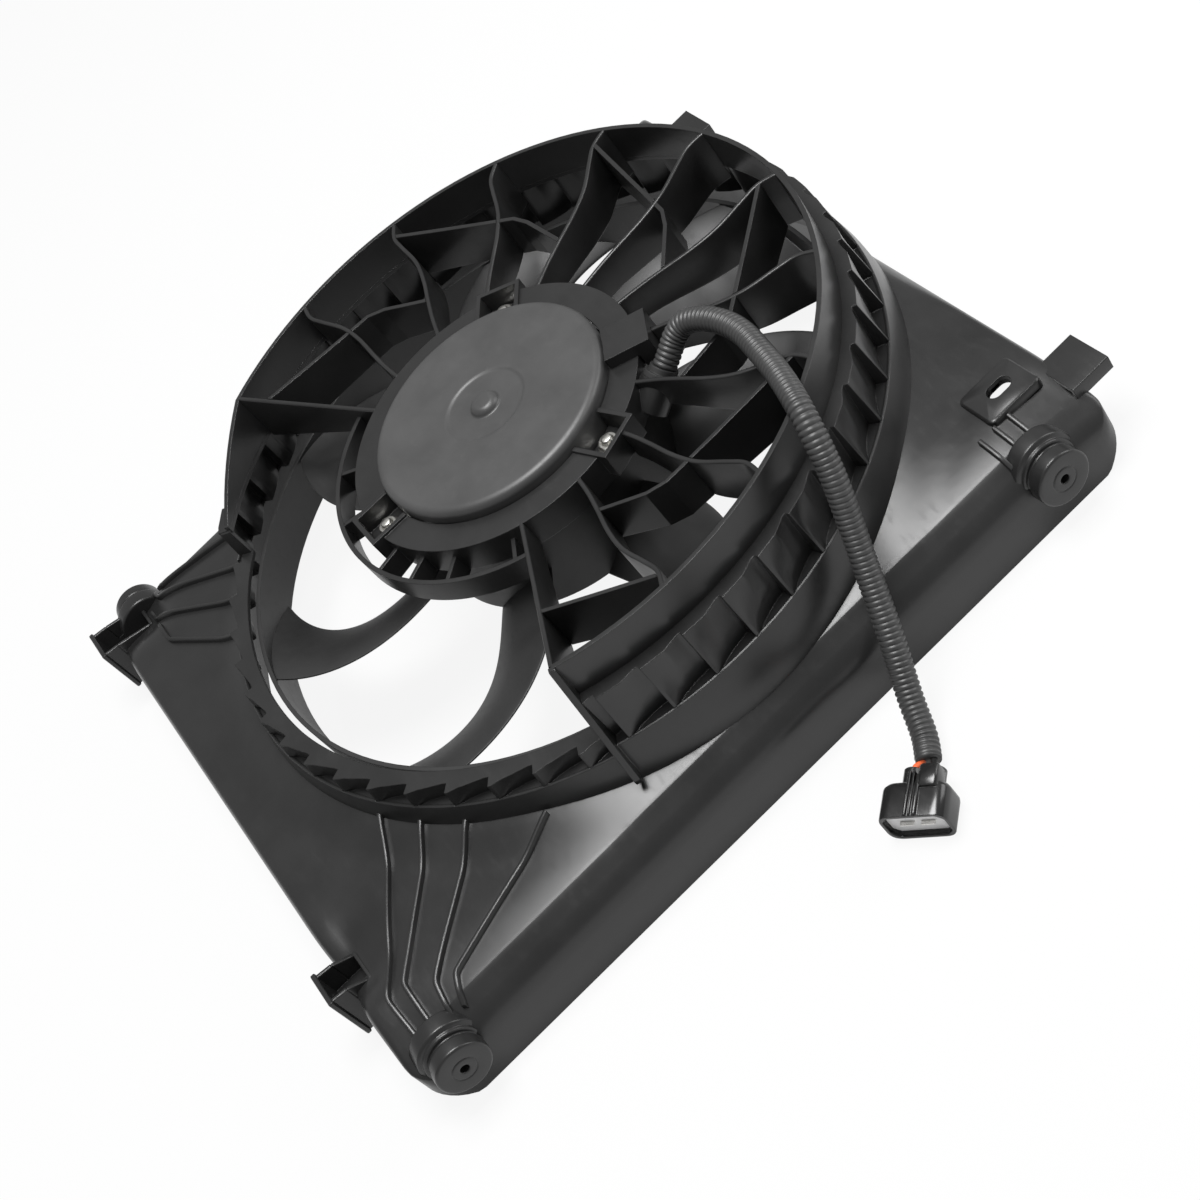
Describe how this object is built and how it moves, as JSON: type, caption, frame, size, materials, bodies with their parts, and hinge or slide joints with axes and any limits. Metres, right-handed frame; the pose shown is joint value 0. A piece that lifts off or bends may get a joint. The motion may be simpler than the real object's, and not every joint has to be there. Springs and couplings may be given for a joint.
{
  "type": "radiator cooling fan",
  "caption": "Electric radiator cooling fan: moulded shroud with curved stator vanes, banded blades, flat brushed motor and a short lead with a two-way connector.",
  "frame": {"origin": "middle of the shroud pan on the plane of its open front rim, which it rests on", "axes": "+Z from the radiator side to the engine side along the fan's axis, +X along the pan towards the side where the ring meets the wall, +Y up the pan"},
  "size_m": [0.4635, 0.5141, 0.1351],
  "materials": {
    "shroud_plastic": "satin black glass-filled moulding",
    "fan_plastic": "satin black moulding",
    "motor_paint": "smooth dark grey coating",
    "zinc_steel": "bright zinc plate",
    "plain_steel": "ground steel",
    "ferrite": "dull sintered ferrite",
    "core_steel": "laminated steel",
    "copper": "enamelled copper wire",
    "bronze": "sintered bronze",
    "carbon": "pressed carbon",
    "card": "phenolic card",
    "conduit_plastic": "corrugated, slightly glossy",
    "grommet_rubber": "matt",
    "red_insulation": "smooth",
    "black_insulation": "smooth",
    "connector_plastic": "glossy black",
    "lock_plastic": "pale grey",
    "tinned_contact": "tin plate",
    "seal_rubber": "soft silicone"
  },
  "bodies": {
    "root": {"shroud_pan": "shroud_plastic", "corner_ribs": "shroud_plastic", "locating_pins": "shroud_plastic", "radiator_clips": "shroud_plastic", "ring_base": "shroud_plastic", "ring_wall": "shroud_plastic", "stator_vanes": "shroud_plastic", "vane_ribs": "shroud_plastic", "motor_plate": "shroud_plastic", "lead_cover": "shroud_plastic", "motor_can": "motor_paint", "motor_end_cover": "plain_steel", "mounting_ring": "motor_paint", "mounting_studs": "zinc_steel", "mounting_nuts": "zinc_steel", "magnets": "ferrite", "rear_bush": "bronze", "front_bush": "bronze", "brush_card": "card", "brushes": "carbon", "brush_springs": "plain_steel", "cable_grommet": "grommet_rubber", "conduit": "conduit_plastic", "red_wire": "red_insulation", "black_wire": "black_insulation", "connector_housing": "connector_plastic", "connector_lock": "lock_plastic", "terminals": "tinned_contact", "wire_seals": "seal_rubber"},
    "fan": {"fan_hub": "fan_plastic", "fan_blades": "fan_plastic", "fan_band": "fan_plastic", "motor_shaft": "plain_steel", "armature_core": "core_steel", "windings": "copper", "commutator": "copper", "fan_nut": "zinc_steel"}
  },
  "joints": [
    {"name": "fan_spin", "type": "hinge", "parent": "root", "child": "fan", "pos_m": [0.0215, 0, 0.06], "axis": [0, 0, 1], "continuous": true}
  ]
}
